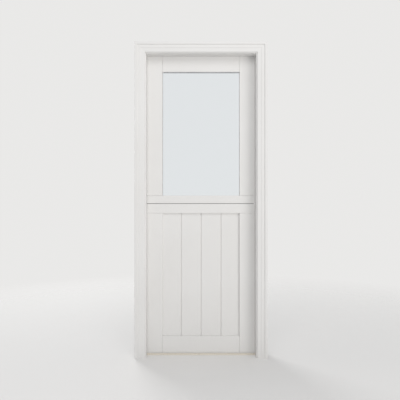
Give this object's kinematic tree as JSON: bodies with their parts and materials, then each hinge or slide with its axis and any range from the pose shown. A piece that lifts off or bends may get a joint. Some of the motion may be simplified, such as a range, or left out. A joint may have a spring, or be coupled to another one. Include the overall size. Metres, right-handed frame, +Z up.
{
  "type": "stable door",
  "caption": "Timber stable door with a glazed upper leaf over a boarded lower leaf, hung on butt hinges in a rebated frame with a stepped architrave and low threshold.",
  "frame": {"origin": "centre of the threshold's underside, on the floor, in the middle of the leaves' thickness", "axes": "+Z up, -Y towards the room that the architrave faces, +Y towards the outside, +X towards the closing edge"},
  "size_m": [0.886, 0.175, 2.11],
  "materials": {
    "painted_timber": "satin warm white paint on timber",
    "painted_trim": "satin white paint on moulded timber",
    "threshold_coat": "satin cream coating",
    "pane_glass": "clear",
    "seal_rubber": "matte",
    "glazing_tape": "matte pale grey",
    "spacer_aluminium": "satin",
    "block_plastic": "matte",
    "satin_steel": "satin",
    "lock_brass": "satin"
  },
  "bodies": {
    "frame": {"hinge_jamb": "painted_timber", "closing_jamb": "painted_timber", "frame_head": "painted_timber", "hinge_stop": "painted_timber", "closing_stop": "painted_timber", "head_stop": "painted_timber", "threshold": "threshold_coat", "architrave_left": "painted_trim", "architrave_right": "painted_trim", "architrave_head": "painted_trim", "hinge_jamb_seal": "seal_rubber", "closing_jamb_seal": "seal_rubber", "head_seal": "seal_rubber", "threshold_seal": "seal_rubber", "hinge_1_frame_flap": "satin_steel", "hinge_2_frame_flap": "satin_steel", "hinge_3_frame_flap": "satin_steel", "hinge_4_frame_flap": "satin_steel", "hinge_pins": "satin_steel", "lock_keep": "satin_steel"},
    "upper_leaf": {"upper_meeting_rail": "painted_timber", "upper_top_rail": "painted_timber", "upper_hinge_stile": "painted_timber", "upper_closing_stile": "painted_timber", "glazing_gasket": "glazing_tape", "inner_pane": "pane_glass", "outer_pane": "pane_glass", "spacer_bar": "spacer_aluminium", "setting_blocks": "block_plastic", "glazing_bead_left": "painted_timber", "glazing_bead_right": "painted_timber", "glazing_bead_bottom": "painted_timber", "glazing_bead_top": "painted_timber", "hinge_3_leaf_flap": "satin_steel", "hinge_4_leaf_flap": "satin_steel", "flush_bolt_plate": "satin_steel", "upper_pull": "satin_steel"},
    "lower_leaf": {"lower_meeting_rail": "painted_timber", "lower_bottom_rail": "painted_timber", "lower_hinge_stile": "painted_timber", "lower_closing_stile": "painted_timber", "panel_board_1": "painted_timber", "panel_board_2": "painted_timber", "panel_board_3": "painted_timber", "panel_board_4": "painted_timber", "meeting_seal": "seal_rubber", "weatherboard": "painted_timber", "hinge_1_leaf_flap": "satin_steel", "hinge_2_leaf_flap": "satin_steel", "lock_case": "satin_steel", "lock_cylinder": "lock_brass", "flush_bolt_keep": "satin_steel", "lower_pull": "satin_steel"},
    "lock_bolt": {"lock_bolt": "lock_brass"},
    "lock_plug": {"lock_plug": "lock_brass"},
    "flush_bolt": {"flush_bolt_rod": "satin_steel"}
  },
  "joints": [
    {"name": "upper_leaf_hinge", "type": "hinge", "parent": "frame", "child": "upper_leaf", "pos_m": [-0.3825, 0.029, 1.5405], "axis": [0, 0, 1], "range_deg": [0, 110]},
    {"name": "lower_leaf_hinge", "type": "hinge", "parent": "frame", "child": "lower_leaf", "pos_m": [-0.3825, 0.029, 0.519], "axis": [0, 0, 1], "range_deg": [0, 110]},
    {"name": "lock_bolt_slide", "type": "slide", "parent": "lower_leaf", "child": "lock_bolt", "axis": [1, 0, 0], "range_m": [0, 0.018]},
    {"name": "lock_plug_turn", "type": "hinge", "parent": "lower_leaf", "child": "lock_plug", "pos_m": [0.341, 0.015, 0.87], "axis": [0, 1, 0], "range_deg": [0, 360]},
    {"name": "flush_bolt_slide", "type": "slide", "parent": "upper_leaf", "child": "flush_bolt", "axis": [0, 0, -1], "range_m": [0, 0.018]}
  ],
  "couplings": [
    {"joint": "lock_plug_turn", "follows": "lock_bolt_slide", "rad_per_m": 349.07}
  ]
}
